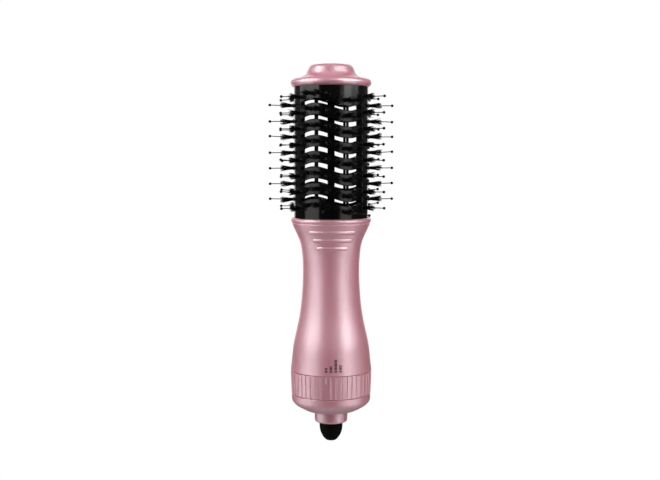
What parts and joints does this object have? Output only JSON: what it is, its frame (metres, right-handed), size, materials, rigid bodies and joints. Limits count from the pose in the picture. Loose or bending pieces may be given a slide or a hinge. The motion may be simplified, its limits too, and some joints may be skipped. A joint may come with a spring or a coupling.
{
  "type": "hot air brush",
  "caption": "Round hot air styling brush: slotted bristle barrel with a cool tip on a waisted fan handle with a ring dial and a swivel cord gland.",
  "frame": {"origin": "on the long axis, at the lowest point of the cord gland", "axes": "+Z along the long axis to the cool tip, -Y is the front with the grip beads and the setting marks, +X is to the right seen from the front"},
  "size_m": [0.1008, 0.1002, 0.3065],
  "materials": {
    "pink_shell": "satin metallic rose paint on moulded plastic",
    "marker_light": "satin lighter rose",
    "black_gloss": "gloss",
    "black_matte": "matte",
    "pin_nylon": "satin moulded nylon",
    "bristle_nylon": "fine nylon filaments",
    "black_rubber": "matte",
    "steel": "bright",
    "brass": "bright",
    "copper": "bright",
    "phenolic": "matte",
    "white_plastic": "matte",
    "magnet": "matte",
    "mica": "silvery layered mica",
    "heater_wire": "drawn resistance wire"
  },
  "bodies": {
    "root": {"barrel_ribs": "black_matte", "barrel_sleeve": "black_gloss", "barrel_spider": "black_matte", "bottom_cap": "pink_shell", "cap_screws": "steel", "contact_bridge": "black_matte", "contact_fingers": "brass", "cool_tip": "pink_shell", "detent_track": "white_plastic", "fan_duct": "white_plastic", "handle_front_shell": "pink_shell", "handle_rear_shell": "pink_shell", "handle_screws": "steel", "heat_shield_tube": "mica", "heater_coils": "heater_wire", "heater_mica_cross": "mica", "intake_filter": "steel", "motor_bushes": "brass", "motor_can": "steel", "motor_end_bell": "white_plastic", "motor_magnets": "magnet", "pins_front": "pin_nylon", "pins_left": "pin_nylon", "pins_rear": "pin_nylon", "pins_right": "pin_nylon", "rectifier_board": "phenolic", "rectifier_diodes": "black_matte", "screw_plugs": "pink_shell", "side_liner_left": "black_matte", "side_liner_right": "black_matte", "switch_board": "phenolic", "switch_contacts": "brass", "swivel_bush": "white_plastic", "swivel_collar": "pink_shell", "thermal_fuse": "steel", "thermostat": "white_plastic", "tie_rod": "black_matte", "tie_rod_nut": "steel", "tip_insert": "brass", "tufts_front": "bristle_nylon", "tufts_left": "bristle_nylon", "tufts_rear": "bristle_nylon", "tufts_right": "bristle_nylon"},
    "dial": {"dial_ring": "pink_shell", "dial_marker": "marker_light", "dial_lug": "black_matte", "contact_wiper": "brass", "detent_spring": "steel"},
    "swivel": {"cord_gland": "black_rubber", "gland_clip": "steel", "slip_ring_disc": "phenolic", "slip_rings": "brass"},
    "rotor": {"motor_shaft": "steel", "motor_armature": "steel", "motor_commutator": "copper", "fan_impeller": "white_plastic"}
  },
  "joints": [
    {"name": "dial_turn", "type": "hinge", "parent": "root", "child": "dial", "pos_m": [0, 0, 0.049], "axis": [0, 0, 1], "range_deg": [0, 20.4]},
    {"name": "cord_swivel", "type": "hinge", "parent": "root", "child": "swivel", "pos_m": [0, 0, 0.02], "axis": [0, 0, 1], "continuous": true},
    {"name": "fan_spin", "type": "hinge", "parent": "root", "child": "rotor", "pos_m": [0, 0, 0.06], "axis": [0, 0, 1], "continuous": true}
  ]
}
